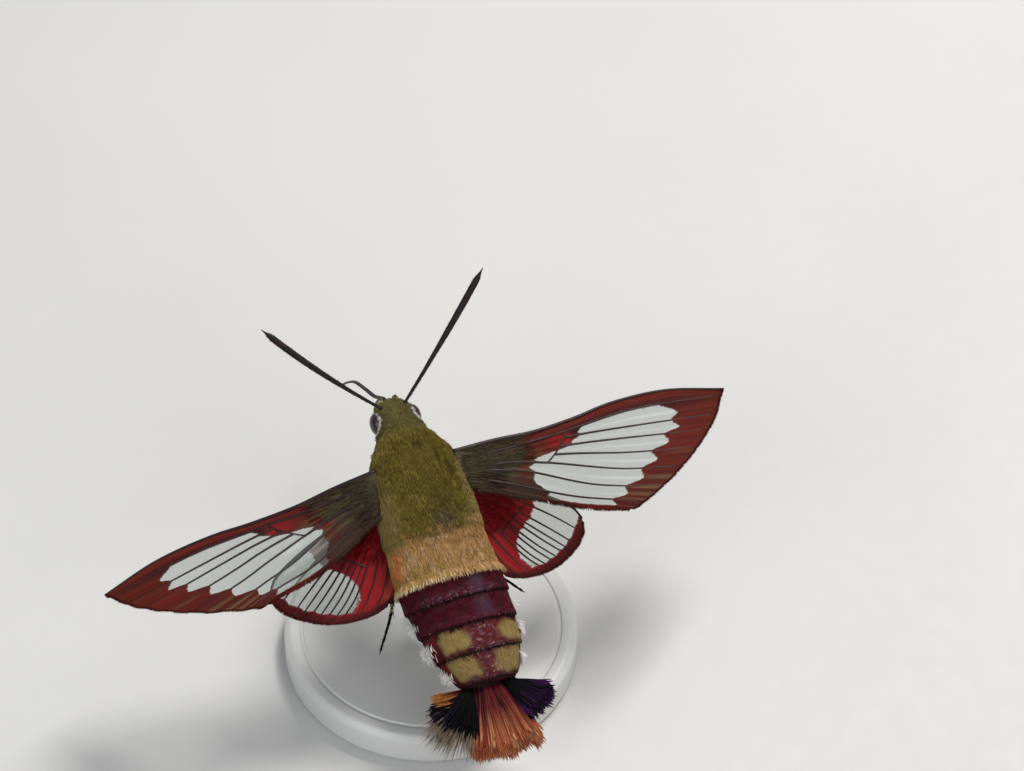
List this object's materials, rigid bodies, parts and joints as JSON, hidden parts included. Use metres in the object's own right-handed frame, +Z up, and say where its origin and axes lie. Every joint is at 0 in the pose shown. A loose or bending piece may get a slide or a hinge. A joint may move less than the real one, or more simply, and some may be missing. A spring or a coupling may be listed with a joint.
{
  "type": "hummingbird clearwing moth model",
  "caption": "Life-size still model of a hummingbird clearwing moth hovering on a small round display stand, for display and scene dressing.",
  "frame": {"origin": "middle of the stand's underside, on the surface that the stand rests on", "axes": "+Z up, +Y the way the moth heads, +X to the moth's right, along its wings"},
  "size_m": [0.0553, 0.0417, 0.0299],
  "materials": {
    "thorax_fur": "dense olive fur, golden at the rear",
    "abdomen_scales": "burgundy scales with olive-gold patches and pale rims",
    "tail_scales": "rufous tail fan of long flat scales",
    "black_scales": "black tufts of long flat scales",
    "pale_scales": "cream scales",
    "eye_surface": "smooth dark compound eye",
    "dark_horn": "near-black scaled cuticle",
    "wing_membrane": "red-brown scaled membrane with clear windows and dark veins",
    "stand_paint": "satin pale grey paint",
    "stand_steel": "brushed steel"
  },
  "bodies": {
    "root": {"head": "thorax_fur", "collar": "thorax_fur", "thorax": "thorax_fur", "abdomen": "abdomen_scales", "tail_fan": "tail_scales", "tail_tuft_left": "black_scales", "tail_tuft_right": "black_scales", "eye_left": "eye_surface", "eye_right": "eye_surface", "palp_left": "pale_scales", "palp_right": "pale_scales", "antenna_left": "dark_horn", "antenna_right": "dark_horn", "proboscis": "dark_horn", "forewing_left": "wing_membrane", "forewing_right": "wing_membrane", "hindwing_left": "wing_membrane", "hindwing_right": "wing_membrane", "leg_front_left": "pale_scales", "leg_front_right": "pale_scales", "leg_middle_left": "dark_horn", "leg_middle_right": "dark_horn", "leg_hind_left": "dark_horn", "leg_hind_right": "dark_horn", "stand_base": "stand_paint", "stand_rod": "stand_steel"}
  },
  "joints": []
}
